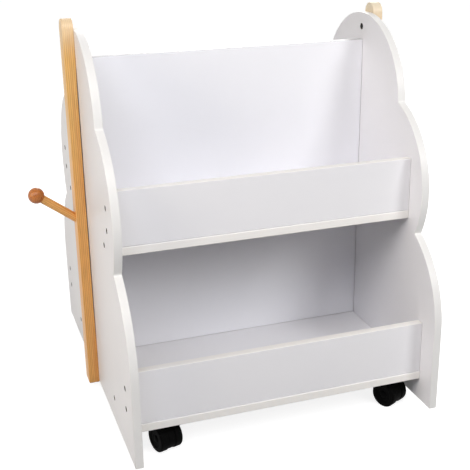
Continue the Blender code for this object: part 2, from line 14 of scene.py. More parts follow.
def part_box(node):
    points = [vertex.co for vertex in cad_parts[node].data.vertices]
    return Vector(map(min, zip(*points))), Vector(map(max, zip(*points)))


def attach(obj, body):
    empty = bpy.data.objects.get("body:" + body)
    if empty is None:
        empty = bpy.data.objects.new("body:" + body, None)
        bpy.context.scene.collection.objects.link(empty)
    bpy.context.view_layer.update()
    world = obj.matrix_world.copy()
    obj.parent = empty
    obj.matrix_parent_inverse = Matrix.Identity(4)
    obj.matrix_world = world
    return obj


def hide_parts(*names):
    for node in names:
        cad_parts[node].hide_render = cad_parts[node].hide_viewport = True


MM = 0.001
WELD = 0.01 * MM                  # points closer than this are one point
SHARP_FROM = math.radians(38)     # edges that turn by more than this stay sharp
FACING_FROM = 0.9                 # part of the normal along an axis of a face that looks that way
WAVE_RATE = 20                    # phase of a wave texture for each unit of its scale and of length

ROOT = "bookcase"
SIDES = {"left": -1, "right": 1}
OUTWARD = 1                       # away from the bookcase's middle
INWARD = -1
ENDS = ("front", "rear")

# Boards
BOARDS = ("bottom_board", "centre_divider", "upper_shelf_front", "upper_shelf_rear",
          "lower_lip_front", "lower_lip_rear", "upper_lip_front", "upper_lip_rear")
EDGE_ROUND = 1.2 * MM
EDGE_STEPS = 3
UNDERSIDE_FROM = -0.35            # upward part of the normal of a face that counts as underneath, which takes a darker finish as painted shade
NOTCH_ROUND = 3.0 * MM            # left by the router where two lobes meet
NOTCH_STEPS = 5

# Tree outline of the side panels: three lobes in front and three behind
TOP_LOBE_RADIUS = 160.0 * MM
MIDDLE_LOBE_RADIUS = 163.0 * MM
MIDDLE_LOBE_REACH = 263.5 * MM    # from the centre line
MIDDLE_LOBE_HEIGHT = 397.0 * MM   # above the panel's foot
BOTTOM_LOBE_RADIUS = 186.0 * MM
BOTTOM_LOBE_HEIGHT = 161.0 * MM
LOBE_STEP = math.radians(2.5)

# Trunk bars, branch pegs and balls
TRUNK_ROUND = 2.2 * MM
TRUNK_BACK_ROUND = 0.5 * MM
TRUNK_STEPS = 4
TRUNK_TOP_STEP = math.radians(5)
RELIEF_DEPTH = 1.2 * MM           # the bar's back stands off the panel between its bolts
RELIEF_FROM = 0.115               # height of the relief's ends
RELIEF_TO = 0.660
RELIEF_TAPER = 0.060
TOP_HIGHLIGHT_FROM = 0.655                 # heights between which the trunks turn paler towards the top: a painted highlight
TOP_HIGHLIGHT_TO = 0.735
TOP_HIGHLIGHT_SHARE = {"left": 0.58, "right": 1.0}     # of the painted highlight at the top of each trunk, set for each trunk apart
FOOT_TINT_FROM = 0.36                 # heights between which they turn from redder and darker near the foot
FOOT_TINT_TO = 0.62
PEG_DIAMETER = 16.0 * MM
PEG_ANGLE = math.radians(36.5)
PEG_HEIGHT = 347.0 * MM           # where its axis leaves the trunk's face, above the panel's foot
PEG_REACH = 85.0 * MM             # along the axis, from the trunk's face to the ball's centre
PEG_SEAT = 11.0 * MM              # inside the trunk
PEG_FIT = 0.25 * MM
PEG_STEPS = 48
BALL_DIAMETER = 30.0 * MM
BALL_SEAT = 9.0 * MM              # the peg's end short of the ball's centre
BALL_STEP = math.radians(6)

# Fasteners, by the inputs of their node tree
PANEL_SCREW = {"Head radius": 4.0 * MM, "Head depth": 2.5 * MM, "Chamfer": 0.5 * MM,
               "Key radius": 2.31 * MM, "Key depth": 2.0 * MM}
TRUNK_BOLT = {"Head radius": 5.0 * MM, "Head depth": 3.5 * MM, "Chamfer": 0.6 * MM,
              "Key radius": 2.31 * MM, "Key depth": 2.2 * MM}
PLATE_SCREW = {"Head radius": 4.0 * MM, "Head depth": 2.2 * MM, "Chamfer": 0.9 * MM,
               "Key radius": 1.73 * MM, "Key depth": 1.4 * MM}
HEAD_SIDES = 32
KEY_SIDES = 6
HOLE_FIT = 1.1 * MM               # round a sunk head, and behind it
HEAD_SUNK = 1.4 * MM              # panel screws below the board's face
PLATE_THICKNESS = 2.2 * MM
PLATE_HOLE_REACH = 13.0 * MM      # from the plate's centre, along both sides
PLATE_HEAD_RISE = 1.6 * MM        # of the screw heads, out of the plate's underside

# Castors, about the swivel axis, with the axle across
WHEEL_RADIUS = 25.0 * MM
WHEEL_WIDTH = 14.5 * MM
WHEEL_GAP = 15.0 * MM
WHEEL_ROUND = 3.0 * MM
WHEEL_CHAMFER = 0.7 * MM
WHEEL_STEPS = 64
TREAD_STEP = math.radians(15)
HUB_CAP = ((0.0, 0.4), (4.0, 0.6), (6.2, 1.1), (7.0, 1.7), (7.3, 2.2))     # mm: radius, depth in the face
WHEEL_DISH = ((7.9, 2.2), (8.3, 1.6), (15.2, 1.3), (16.6, 0.1), (17.2, 0.0))
AXLE_RADIUS = 4.0 * MM
AXLE_FIT = 0.3 * MM
AXLE_HOLE_DEPTH = 11.0 * MM
HOOD_INNER = 26.8 * MM
HOOD_OUTER = 29.2 * MM
HOOD_START = math.radians(20)
HOOD_END = math.radians(128)
HOOD_LAP = math.radians(5)        # no multiple of the step, so the web's ends miss the hood's seams
HOOD_STEP = math.radians(4)
HOOD_ROUND = 0.8 * MM
WEB_WIDTH = 13.4 * MM
WEB_RADIUS = 23.8 * MM
BOSS_RADIUS = 6.35 * MM
BOSS_TOP = 57.3 * MM
BOSS_FOOT = 30.3 * MM
BOSS_STEPS = 40
PIN_HOLE_RADIUS = 3.8 * MM        # round the king pin, which is on the plate
PIN_HOLE_FOOT = 41.3 * MM

# Camera, solved from the edges of the boards
CAMERA_PLACE = Vector((-0.5405, -1.6256, 0.9224))
CAMERA_YAW = math.radians(18.62)
CAMERA_PITCH = math.radians(20.34)
CAMERA_ROLL = math.radians(-0.83)
CAMERA_SENSOR = 36.0              # mm
CAMERA_LENS = 69.32               # mm

# Light: soft boxes in front and at the sides, and one behind for the views from there
SKY_STRENGTH = 0.03
LAMPS = {
    "box_right": {"place": (1.1, -1.9, 1.5), "size": 0.8, "power": 20.8, "colour": "#FFFFFF"},
    "box_left": {"place": (-1.1, -1.5, 2.0), "size": 1.2, "power": 18.1, "colour": "#F1F4FF"},
    "box_over": {"place": (0.0, -1.7, 2.4), "size": 0.8, "power": 14.8, "colour": "#FFFAF2"},
    "side_left": {"place": (-2.0, -0.6, 1.2), "size": 1.0, "power": 19.2, "colour": "#FFF6E8"},
    "side_right": {"place": (2.2, 0.5, 1.3), "size": 1.2, "power": 16.0, "colour": "#FFFFFF"},
    "box_rear": {"place": (0.9, 2.3, 1.8), "size": 1.4, "power": 44.0, "colour": "#FFFFFF"},
}
LAMP_AIM = Vector((0.0, 0.0, 0.4))
FLOOR_SIZE = 40.0
FLOOR_SHADED = 0.7                # radius round the object in which the floor shows its shadow
FLOOR_WHITE = 1.6                 # radius from which it is plain white
FLOOR_LIFT = 0.85                 # white that the camera sees even in shadow

# Places in a list of finishes
BROAD, EDGE, PAINTED_SHADE = range(3)    # boards: broad faces, edges, and painted shade in drilled holes or on a shelf's underside
LACQUERED, SHADED_PINE = range(2)        # trunks: lacquered, and a dark brown that paints shade on the foot and the back

# Sockets of a colour Mix node
MIX_FACTOR, MIX_A, MIX_B, MIX_RESULT = 0, 6, 7, 2

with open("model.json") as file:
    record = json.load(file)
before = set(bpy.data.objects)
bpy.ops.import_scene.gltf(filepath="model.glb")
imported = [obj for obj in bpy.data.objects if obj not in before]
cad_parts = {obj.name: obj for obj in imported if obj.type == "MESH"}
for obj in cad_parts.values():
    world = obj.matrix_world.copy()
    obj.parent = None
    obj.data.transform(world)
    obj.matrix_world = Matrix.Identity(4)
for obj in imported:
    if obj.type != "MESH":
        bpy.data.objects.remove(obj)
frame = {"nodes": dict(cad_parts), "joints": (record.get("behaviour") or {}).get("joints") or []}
JOINTS = {joint["name"]: joint for joint in frame["joints"]}


def linear(hex_colour):
    """An sRGB hex colour as linear RGBA."""
    channels = [int(hex_colour[i:i + 2], 16) / 255 for i in (1, 3, 5)]
    return (*[c / 12.92 if c <= 0.04045 else ((c + 0.055) / 1.055) ** 2.4 for c in channels], 1.0)


def per_length(length):
    """Scale at which a noise has about one feature in the given length."""
    return 1.0 / length


def bands_per_length(length):
    """Scale at which a wave texture has one band in the given length."""
    return 2 * math.pi / (WAVE_RATE * length)


def add_node(tree, kind, settings=None, inputs=None):
    """Adds a node, with its settings, and with its inputs set or linked."""
    node = tree.nodes.new(kind)
    for name, value in (settings or {}).items():
        setattr(node, name, value)
    for name, value in (inputs or {}).items():
        if isinstance(value, bpy.types.NodeSocket):
            tree.links.new(value, node.inputs[name])
        else:
            node.inputs[name].default_value = value
    return node


def new_material(name):
    material = bpy.data.materials.new(name)
    material.use_nodes = True
    material.node_tree.nodes.clear()
    return material, material.node_tree


def set_shader(tree, inputs):
    shader = add_node(tree, "ShaderNodeBsdfPrincipled", inputs=inputs)
    add_node(tree, "ShaderNodeOutputMaterial", inputs={"Surface": shader.outputs["BSDF"]})


def lacquered_fibreboard(name, light, shade):
    """White lacquer sprayed on fibreboard: flat and even, with a satin sheen, a faint cloudiness from one
    pass of the gun to the next, and an orange peel that breaks up reflections."""
    material, tree = new_material(name)
    place = add_node(tree, "ShaderNodeTexCoord").outputs["Object"]
    cloud = add_node(tree, "ShaderNodeTexNoise",
                     inputs={"Vector": place, "Scale": per_length(110 * MM), "Detail": 3.0}).outputs["Fac"]
    # Real orange peel is about 1 mm from crest to crest; it is drawn at 3 mm so that it shows
    peel = add_node(tree, "ShaderNodeTexNoise",
                    inputs={"Vector": place, "Scale": per_length(3 * MM), "Detail": 2.0}).outputs["Fac"]
    colour = add_node(tree, "ShaderNodeMix", {"data_type": "RGBA"},
                      {MIX_FACTOR: cloud, MIX_A: linear(light), MIX_B: linear(shade)})
    sheen = add_node(tree, "ShaderNodeMapRange", inputs={"Value": cloud, "To Min": 0.36, "To Max": 0.48})
    bump = add_node(tree, "ShaderNodeBump", inputs={"Height": peel, "Strength": 0.12, "Distance": 0.1 * MM})
    set_shader(tree, {"Base Color": colour.outputs[MIX_RESULT], "Roughness": sheen.outputs["Result"],
                      "Normal": bump.outputs["Normal"], "IOR": 1.5})
    return material


def drilled_fibreboard_painted_shade(name):
    """Bare fibreboard in a drilled hole: brown, matt and fuzzy, and far darker than bare board would be:
    painted shade in the recess.
    """
    material, tree = new_material(name)
    place = add_node(tree, "ShaderNodeTexCoord").outputs["Object"]
    fuzz = add_node(tree, "ShaderNodeTexNoise",
                    inputs={"Vector": place, "Scale": per_length(0.8 * MM), "Detail": 2.0}).outputs["Fac"]
    colour = add_node(tree, "ShaderNodeMix", {"data_type": "RGBA"},
                      {MIX_FACTOR: fuzz, MIX_A: linear("#4A3F36"), MIX_B: linear("#352C26")})
    set_shader(tree, {"Base Color": colour.outputs[MIX_RESULT], "Roughness": 0.9})
    return material


def pine_patterns(tree, place, turn):
    """Growth rings, fine fibres and slow flushes of colour, all drawn out along Z turned about Y."""
    along = add_node(tree, "ShaderNodeMapping", inputs={"Vector": place, "Rotation": (0.0, turn, 0.0)})
    drawn_out = add_node(tree, "ShaderNodeMapping", inputs={
        "Vector": along.outputs["Vector"], "Scale": (1.0, 1.0, 0.03)}).outputs["Vector"]
    rings = add_node(tree, "ShaderNodeTexWave",
                     {"wave_type": "RINGS", "rings_direction": "Z", "wave_profile": "SAW"},
                     {"Vector": drawn_out, "Scale": bands_per_length(3.4 * MM), "Distortion": 2.4,
                      "Detail": 2.0, "Detail Scale": 0.6}).outputs["Fac"]
    fibres = add_node(tree, "ShaderNodeTexNoise", inputs={
        "Vector": drawn_out, "Scale": per_length(0.9 * MM), "Detail": 3.0}).outputs["Fac"]
    flush = add_node(tree, "ShaderNodeTexNoise", inputs={
        "Vector": drawn_out, "Scale": per_length(7 * MM), "Detail": 1.0}).outputs["Fac"]
    return rings, fibres, flush


def pine_grain_colour(tree, rings, fibres, flush):
    """Honey sapwood with brown latewood lines, warmer in the flushes and darker along the fibres."""
    grain = add_node(tree, "ShaderNodeValToRGB", inputs={"Fac": rings})
    stops = grain.color_ramp.elements
    stops[0].color = linear("#F5CB82")
    stops[1].color = linear("#CB8E47")
    stops.new(0.6).color = linear("#EBB86B")
    warm = add_node(tree, "ShaderNodeMapRange", inputs={
        "Value": flush, "From Min": 0.5, "From Max": 0.75, "To Max": 0.45}).outputs["Result"]
    warmed = add_node(tree, "ShaderNodeMix", {"data_type": "RGBA"},
                      {MIX_FACTOR: warm, MIX_A: grain.outputs["Color"], MIX_B: linear("#D08A48")})
    lines = add_node(tree, "ShaderNodeMapRange", inputs={
        "Value": fibres, "From Min": 0.3, "From Max": 0.7, "To Min": 0.8, "To Max": 1.08}).outputs["Result"]
    return add_node(tree, "ShaderNodeMix", {"data_type": "RGBA", "blend_type": "MULTIPLY"}, {
        MIX_FACTOR: 1.0, MIX_A: warmed.outputs[MIX_RESULT], MIX_B: lines}).outputs[MIX_RESULT]


def pine_height_colour(tree, place, grain, top_highlight_share):
    """The grain's colour, redder and a little darker low down, and paler near the top as a painted
    highlight.
    """
    height = add_node(tree, "ShaderNodeSeparateXYZ", inputs={"Vector": place}).outputs["Z"]
    # redder and a little darker towards the foot
    foot_tint = add_node(tree, "ShaderNodeMapRange", {"interpolation_type": "SMOOTHSTEP"}, {
        "Value": height, "From Min": FOOT_TINT_FROM, "From Max": FOOT_TINT_TO, "To Min": 1.0, "To Max": 0.0})
    reddened = add_node(tree, "ShaderNodeMix", {"data_type": "RGBA", "blend_type": "MULTIPLY"}, {
        MIX_FACTOR: foot_tint.outputs["Result"], MIX_A: grain, MIX_B: linear("#FFEFE2")})
    # paler towards the top: a painted highlight
    top_highlight = add_node(tree, "ShaderNodeMapRange", {"interpolation_type": "SMOOTHSTEP"}, {
        "Value": height, "From Min": TOP_HIGHLIGHT_FROM, "From Max": TOP_HIGHLIGHT_TO, "To Max": top_highlight_share})
    highlighted = add_node(tree, "ShaderNodeMix", {"data_type": "RGBA"}, {
        MIX_FACTOR: top_highlight.outputs["Result"], MIX_A: reddened.outputs[MIX_RESULT], MIX_B: linear("#ECDEC4")})
    return highlighted.outputs[MIX_RESULT]


def lacquered_pine(name, turn=0.0, top_highlight_share=0.0):
    """Sawn pine under clear satin lacquer: honey sapwood between thin brown latewood lines that run with
    the bar and wander a little, and fine fibres that catch the light. The grain runs along Z, turned
    about Y."""
    material, tree = new_material(name)
    place = add_node(tree, "ShaderNodeTexCoord").outputs["Object"]
    rings, fibres, flush = pine_patterns(tree, place, turn)
    grain = pine_grain_colour(tree, rings, fibres, flush)
    sheen = add_node(tree, "ShaderNodeMapRange", inputs={"Value": fibres, "To Min": 0.36, "To Max": 0.52})
    bump = add_node(tree, "ShaderNodeBump",
                    inputs={"Height": fibres, "Strength": 0.25, "Distance": 0.12 * MM})
    set_shader(tree, {"Base Color": pine_height_colour(tree, place, grain, top_highlight_share),
                      "Roughness": sheen.outputs["Result"], "Normal": bump.outputs["Normal"], "IOR": 1.5})
    return material


def sawn_pine_painted_shade(name):
    """Dark brown, dull pine with close dark rings, on the bar's foot and on its back against the panel:
    painted shade under the foot and in the gap behind the bar.
    """
    material, tree = new_material(name)
    place = add_node(tree, "ShaderNodeTexCoord").outputs["Object"]
    rings = add_node(tree, "ShaderNodeTexWave", {"wave_type": "RINGS", "rings_direction": "Z"},
                     {"Vector": place, "Scale": bands_per_length(3.4 * MM),
                      "Distortion": 1.5}).outputs["Fac"]
    colour = add_node(tree, "ShaderNodeMix", {"data_type": "RGBA"},
                      {MIX_FACTOR: rings, MIX_A: linear("#6E431F"), MIX_B: linear("#543117")})
    set_shader(tree, {"Base Color": colour.outputs[MIX_RESULT], "Roughness": 0.75})
    return material


def stained_beech(name):
    """Turned beech, stained orange-brown and lacquered: an even tone with short dark flecks and a soft
    gloss."""
    material, tree = new_material(name)
    place = add_node(tree, "ShaderNodeTexCoord").outputs["Object"]
    drawn_out = add_node(tree, "ShaderNodeMapping", inputs={"Vector": place, "Scale": (1.0, 1.0, 0.25)})
    fleck = add_node(tree, "ShaderNodeTexNoise", inputs={
        "Vector": drawn_out.outputs["Vector"], "Scale": per_length(1.2 * MM), "Detail": 2.0}).outputs["Fac"]
    cloud = add_node(tree, "ShaderNodeTexNoise",
                     inputs={"Vector": place, "Scale": per_length(14 * MM), "Detail": 2.0}).outputs["Fac"]
    ramp = add_node(tree, "ShaderNodeValToRGB", inputs={"Fac": fleck})
    stops = ramp.color_ramp.elements
    stops[0].position = 0.3
    stops[0].color = linear("#8E4A1A")
    stops[1].position = 0.55
    stops[1].color = linear("#C2742F")
    colour = add_node(tree, "ShaderNodeMix", {"data_type": "RGBA", "blend_type": "SOFT_LIGHT"},
                      {MIX_FACTOR: 0.4, MIX_A: ramp.outputs["Color"], MIX_B: cloud})
    sheen = add_node(tree, "ShaderNodeMapRange", inputs={"Value": cloud, "To Min": 0.28, "To Max": 0.40})
    bump = add_node(tree, "ShaderNodeBump", inputs={"Height": fleck, "Strength": 0.1, "Distance": 0.1 * MM})
    set_shader(tree, {"Base Color": colour.outputs[MIX_RESULT], "Roughness": sheen.outputs["Result"],
                      "Normal": bump.outputs["Normal"], "IOR": 1.5})
    return material


def plated_steel(name, light, shade, smoothest, roughest):
    """Plated steel: a thin mottled skin of zinc or black oxide, brighter where it was handled."""
    material, tree = new_material(name)
    place = add_node(tree, "ShaderNodeTexCoord").outputs["Object"]
    mottle = add_node(tree, "ShaderNodeTexNoise",
                      inputs={"Vector": place, "Scale": per_length(1.5 * MM), "Detail": 3.0}).outputs["Fac"]
    colour = add_node(tree, "ShaderNodeMix", {"data_type": "RGBA"},
                      {MIX_FACTOR: mottle, MIX_A: linear(light), MIX_B: linear(shade)})
    sheen = add_node(tree, "ShaderNodeMapRange",
                     inputs={"Value": mottle, "To Min": smoothest, "To Max": roughest})
    set_shader(tree, {"Base Color": colour.outputs[MIX_RESULT], "Roughness": sheen.outputs["Result"],
                      "Metallic": 1.0})
    return material


def moulded_nylon(name):
    """Moulded black nylon: deep black with the fine eroded grain of its mould, dull but for a soft
    sheen."""
    material, tree = new_material(name)
    place = add_node(tree, "ShaderNodeTexCoord").outputs["Object"]
    grain = add_node(tree, "ShaderNodeTexNoise",
                     inputs={"Vector": place, "Scale": per_length(0.6 * MM), "Detail": 2.0}).outputs["Fac"]
    colour = add_node(tree, "ShaderNodeMix", {"data_type": "RGBA"},
                      {MIX_FACTOR: grain, MIX_A: linear("#050505"), MIX_B: linear("#0A0A0A")})
    sheen = add_node(tree, "ShaderNodeMapRange", inputs={"Value": grain, "To Min": 0.5, "To Max": 0.65})
    bump = add_node(tree, "ShaderNodeBump",
                    inputs={"Height": grain, "Strength": 0.2, "Distance": 0.05 * MM})
    set_shader(tree, {"Base Color": colour.outputs[MIX_RESULT], "Roughness": sheen.outputs["Result"],
                      "Normal": bump.outputs["Normal"], "IOR": 1.53, "Specular IOR Level": 0.02})
    return material


def mesh_from(shape, name):
    """A mesh with its faces pointing outwards, from a bmesh."""
    bmesh.ops.recalc_face_normals(shape, faces=shape.faces)
    mesh = bpy.data.meshes.new(name)
    shape.to_mesh(mesh)
    shape.free()
    return mesh


def evaluated_mesh(blank):
    """The plain mesh of an object with its modifiers; the object is removed."""
    bpy.context.view_layer.update()
    mesh = bpy.data.meshes.new_from_object(blank.evaluated_get(bpy.context.evaluated_depsgraph_get()))
    bpy.data.objects.remove(blank)
    return mesh


def in_scene(mesh):
    blank = bpy.data.objects.new(mesh.name, mesh)
    bpy.context.scene.collection.objects.link(blank)
    return blank


def combined(mesh, tool, operation):
    """Two meshes joined or cut by a Boolean."""
    blank, other = in_scene(mesh), in_scene(tool)
    boolean = blank.modifiers.new("combined", "BOOLEAN")
    boolean.operation = operation
    boolean.solver = "EXACT"
    boolean.object = other
    result = evaluated_mesh(blank)
    bpy.data.objects.remove(other)
    return result


def merged(name, meshes):
    """One mesh of several that stay apart."""
    shape = bmesh.new()
    for mesh in meshes:
        shape.from_mesh(mesh)
    return mesh_from(shape, name)


def set_finishes(mesh, finishes):
    for finish in finishes:
        mesh.materials.append(finish)


def add_piece(name, mesh, finishes, body, nodes=()):
    """Puts a finished mesh in the scene, on its body and in place of its CAD nodes."""
    if not mesh.materials:
        set_finishes(mesh, finishes)
    mesh.shade_smooth()
    mesh.set_sharp_from_angle(angle=SHARP_FROM)
    piece = in_scene(mesh)
    piece.name = name
    weighted = piece.modifiers.new("face weighted normals", "WEIGHTED_NORMAL")
    weighted.keep_sharp = True
    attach(piece, body)
    if nodes:
        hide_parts(*nodes)
    return piece


def arc(centre, radius, start, end, step):
    """Points on an arc, both ends included, no further apart than the step."""
    count = max(2, math.ceil(abs(end - start) / step))
    angles = [start + (end - start) * i / count for i in range(count + 1)]
    return [(centre[0] + radius * math.cos(a), centre[1] + radius * math.sin(a)) for a in angles]


def plate_shape(points, low, high):
    """A closed bmesh plate that stands in YZ between two X values."""
    shape = bmesh.new()
    near = [shape.verts.new((low, *point)) for point in points]
    far = [shape.verts.new((high, *point)) for point in points]
    shape.faces.new(near)
    shape.faces.new(reversed(far))
    for i in range(len(points)):
        shape.faces.new((near[i - 1], near[i], far[i], far[i - 1]))
    bmesh.ops.recalc_face_normals(shape, faces=shape.faces)
    return shape


def round_edges(shape, edges, width, steps):
    bmesh.ops.bevel(shape, geom=list(edges), offset=width, offset_type="OFFSET", segments=steps,
                    profile=0.5, affect="EDGES", clamp_overlap=True)


def rim_edges(shape):
    """Edges between a plate's faces, which look along X, and its sides."""
    return [edge for edge in shape.edges
            if sum(abs(face.normal.x) > FACING_FROM for face in edge.link_faces) == 1]


def turned(name, profile, steps, place=Matrix()):
    """A (radius, height) profile turned about Z, then put in its place."""
    shape = bmesh.new()
    points = [shape.verts.new((radius, 0.0, height)) for radius, height in profile]
    edges = [shape.edges.new(pair) for pair in zip(points, points[1:])]
    bmesh.ops.spin(shape, geom=points + edges, axis=(0, 0, 1), cent=(0, 0, 0), angle=2 * math.pi,
                   steps=steps, use_merge=True)
    bmesh.ops.remove_doubles(shape, verts=shape.verts, dist=WELD)
    bmesh.ops.transform(shape, matrix=place, verts=shape.verts)
    return mesh_from(shape, name)


def pointing(place, direction):
    """A frame at a place, with Z along a direction."""
    return Matrix.Translation(place) @ Vector(direction).to_track_quat("Z", "Y").to_matrix().to_4x4()


def rod(name, radius, length, steps, place):
    """A closed cylinder from the frame's origin along its Z."""
    return turned(name, [(0.0, length), (radius, length), (radius, 0.0), (0.0, 0.0)], steps, place)


def outer_crossing(centre_a, radius_a, centre_b, radius_b):
    """The crossing of two circles that lies further out and up."""
    a, b = Vector(centre_a), Vector(centre_b)
    apart = (b - a).length
    along = (apart ** 2 + radius_a ** 2 - radius_b ** 2) / (2 * apart)
    across = math.sqrt(radius_a ** 2 - along ** 2)
    middle = a + (b - a) * along / apart
    square = Vector((-(b - a).y, (b - a).x)) / apart
    return max(middle + square * across, middle - square * across, key=sum)


def bearing(centre, point):
    return math.atan2(point[1] - centre[1], point[0] - centre[0])


def tree_outline(low, high):
    """The panel's outline in (Y, Z) and its notches, from the lowest and highest corners of its node."""
    half_depth, foot = high.y, low.z
    top = (0.0, high.z - TOP_LOBE_RADIUS)
    middle = (MIDDLE_LOBE_REACH - MIDDLE_LOBE_RADIUS, foot + MIDDLE_LOBE_HEIGHT)
    bottom = (half_depth - BOTTOM_LOBE_RADIUS, foot + BOTTOM_LOBE_HEIGHT)
    upper_notch = outer_crossing(top, TOP_LOBE_RADIUS, middle, MIDDLE_LOBE_RADIUS)
    lower_notch = outer_crossing(middle, MIDDLE_LOBE_RADIUS, bottom, BOTTOM_LOBE_RADIUS)
    half = [(half_depth, foot)]
    half += arc(bottom, BOTTOM_LOBE_RADIUS, 0.0, bearing(bottom, lower_notch), LOBE_STEP)
    half += arc(middle, MIDDLE_LOBE_RADIUS, bearing(middle, lower_notch), bearing(middle, upper_notch),
                LOBE_STEP)[1:]
    half += arc(top, TOP_LOBE_RADIUS, bearing(top, upper_notch), math.pi / 2, LOBE_STEP)[1:]
    return half + [(-y, z) for y, z in reversed(half[:-1])], (upper_notch, lower_notch)


def notch_edges(shape, notches):
    """The edges across the plate's thickness at the notches, on both sides of the centre line."""
    def at_notch(point):
        return any(math.hypot(abs(point.y) - y, point.z - z) < WELD for y, z in notches)
    return [edge for edge in shape.edges
            if abs(edge.verts[0].co.x - edge.verts[1].co.x) > WELD and at_notch(edge.verts[0].co)]


def nodes_named(prefix):
    return [node for node in frame["nodes"] if node.startswith(prefix)]


def face_x(low, high, sign):
    """The X of a box's face on the side that the sign gives."""
    return high.x if sign > 0 else low.x


def fastener_places(prefix, way):
    """Places and directions of the fasteners whose nodes start with the prefix: the end that shows, which
    looks outward or inward."""
    places = []
    for name in sorted(nodes_named(prefix)):
        low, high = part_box(name)
        centre = (low + high) / 2
        sign = way * math.copysign(1.0, centre.x)
        place = Vector((face_x(low, high, sign), centre.y, centre.z))
        places.append((place, Vector((sign, 0.0, 0.0))))
    return places


def sunk(places):
    return [(place - facing * HEAD_SUNK, facing) for place, facing in places]


def head_holes(places, sizes):
    """Cutters for the sunk heads of fasteners."""
    radius = sizes["Head radius"] + HOLE_FIT
    depth = sizes["Head depth"] + HOLE_FIT
    return [rod("hole", radius, 2 * depth, HEAD_SIDES, pointing(place - facing * depth, facing))
            for place, facing in places]


def make_side_panel(side, finishes):
    """A panel with the tree outline and drilled holes; faces, edges and holes have a finish each; the
    edges' finish and the holes' dark brown carry painted shade.
    """
    node = f"side_panel_{side}"
    low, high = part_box(node)
    outline, notches = tree_outline(low, high)
    shape = plate_shape(outline, low.x, high.x)
    round_edges(shape, notch_edges(shape, notches), NOTCH_ROUND, NOTCH_STEPS)
    round_edges(shape, rim_edges(shape), EDGE_ROUND, EDGE_STEPS)
    for face in shape.faces:
        face.material_index = BROAD if abs(face.normal.x) > FACING_FROM else EDGE
    panel = mesh_from(shape, node)
    set_finishes(panel, finishes)
    holes = head_holes(sunk(fastener_places(f"screw_{side}", OUTWARD)), PANEL_SCREW)
    holes += head_holes(fastener_places(f"trunk_bolt_{side}", INWARD), TRUNK_BOLT)
    drills = merged("holes", holes)
    set_finishes(drills, finishes)
    # the hole walls take the dark brown that paints shade in the recesses
    drills.polygons.foreach_set("material_index", [PAINTED_SHADE] * len(drills.polygons))
    add_piece(f"lacquered_{node}", combined(panel, drills, "DIFFERENCE"), finishes, ROOT,
              [node])


def make_board(node, finishes):
    """A board with rounded edges; its broad faces, its edges and a shelf's underside have a finish each;
    the underside's darker grey is painted shade.
    """
    low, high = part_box(node)
    size = high - low
    thin = min(range(3), key=lambda axis: size[axis])
    shape = bmesh.new()
    bmesh.ops.create_cube(shape, size=1.0)
    bmesh.ops.scale(shape, vec=size, verts=shape.verts)
    bmesh.ops.translate(shape, vec=(low + high) / 2, verts=shape.verts)
    round_edges(shape, shape.edges, EDGE_ROUND, EDGE_STEPS)
    for face in shape.faces:
        face.material_index = BROAD if abs(face.normal[thin]) > FACING_FROM else EDGE
        # faces underneath take the darker grey that paints shade
        if thin == 2 and face.normal.z < UNDERSIDE_FROM:
            face.material_index = PAINTED_SHADE
    add_piece(f"lacquered_{node}", mesh_from(shape, node), finishes, ROOT, [node])


def peg_frame(side, along):
    """A frame on the branch's axis with Z outwards, at a distance from the trunk's outer face."""
    low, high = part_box(f"trunk_{side}")
    sign = SIDES[side]
    direction = Vector((sign * math.cos(PEG_ANGLE), 0.0, math.sin(PEG_ANGLE)))
    base = Vector((face_x(low, high, sign), 0.0, low.z + PEG_HEIGHT))
    return pointing(base + direction * along, direction)


def back_relief(side, low, high):
    """A cutter that keeps the trunk's back off the panel between its bolts, which shows as a dark line."""
    back = face_x(low, high, -SIDES[side])
    behind, inside = back - SIDES[side] * RELIEF_DEPTH, back + SIDES[side] * RELIEF_DEPTH
    outline = [(behind, RELIEF_FROM), (back, RELIEF_FROM), (inside, RELIEF_FROM + RELIEF_TAPER),
               (inside, RELIEF_TO - RELIEF_TAPER), (back, RELIEF_TO), (behind, RELIEF_TO)]
    shape = plate_shape([(-x, z) for x, z in outline], low.y - RELIEF_DEPTH, high.y + RELIEF_DEPTH)
    bmesh.ops.transform(shape, matrix=Matrix.Rotation(math.pi / 2, 4, "Z"), verts=shape.verts)
    return mesh_from(shape, "relief")


def sharp_edges(shape, back, on_back):
    """The bar's sharp edges: those on its back, or all the others."""
    def lies_on_back(edge):
        return all(abs(corner.co.x - back) < RELIEF_DEPTH + WELD for corner in edge.verts)
    return [edge for edge in shape.edges
            if edge.calc_face_angle() > SHARP_FROM and lies_on_back(edge) == on_back]


def make_trunk(side, finishes):
    """A bar with a round top and rounded edges, drilled for its branch; its foot and the part of its back
    that lies against the panel take a dark brown finish that paints shade."""
    node = f"trunk_{side}"
    low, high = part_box(node)
    inward = -SIDES[side]
    back = face_x(low, high, inward)
    radius = (high.y - low.y) / 2
    outline = [(-radius, low.z), (radius, low.z)]
    outline += arc((0.0, high.z - radius), radius, 0.0, math.pi, TRUNK_TOP_STEP)
    bar = mesh_from(plate_shape(outline, low.x, high.x), node)
    shape = bmesh.new()
    shape.from_mesh(combined(bar, back_relief(side, low, high), "DIFFERENCE"))
    round_edges(shape, sharp_edges(shape, back, False), TRUNK_ROUND, TRUNK_STEPS)
    round_edges(shape, sharp_edges(shape, back, True), TRUNK_BACK_ROUND, EDGE_STEPS)
    for face in shape.faces:
        # faces against the panel and faces underneath take the dark brown that paints shade
        on_panel = face.normal.x * inward > FACING_FROM and face.calc_center_median().z < RELIEF_TO
        in_shade = on_panel or face.normal.z < UNDERSIDE_FROM
        face.material_index = SHADED_PINE if in_shade else LACQUERED
    bar = mesh_from(shape, node)
    set_finishes(bar, finishes)
    hole = rod("hole", PEG_DIAMETER / 2 + PEG_FIT, PEG_SEAT + PEG_DIAMETER, PEG_STEPS,
               peg_frame(side, -PEG_SEAT))
    add_piece(f"pine_{node}", combined(bar, hole, "DIFFERENCE"), finishes, ROOT, [node])


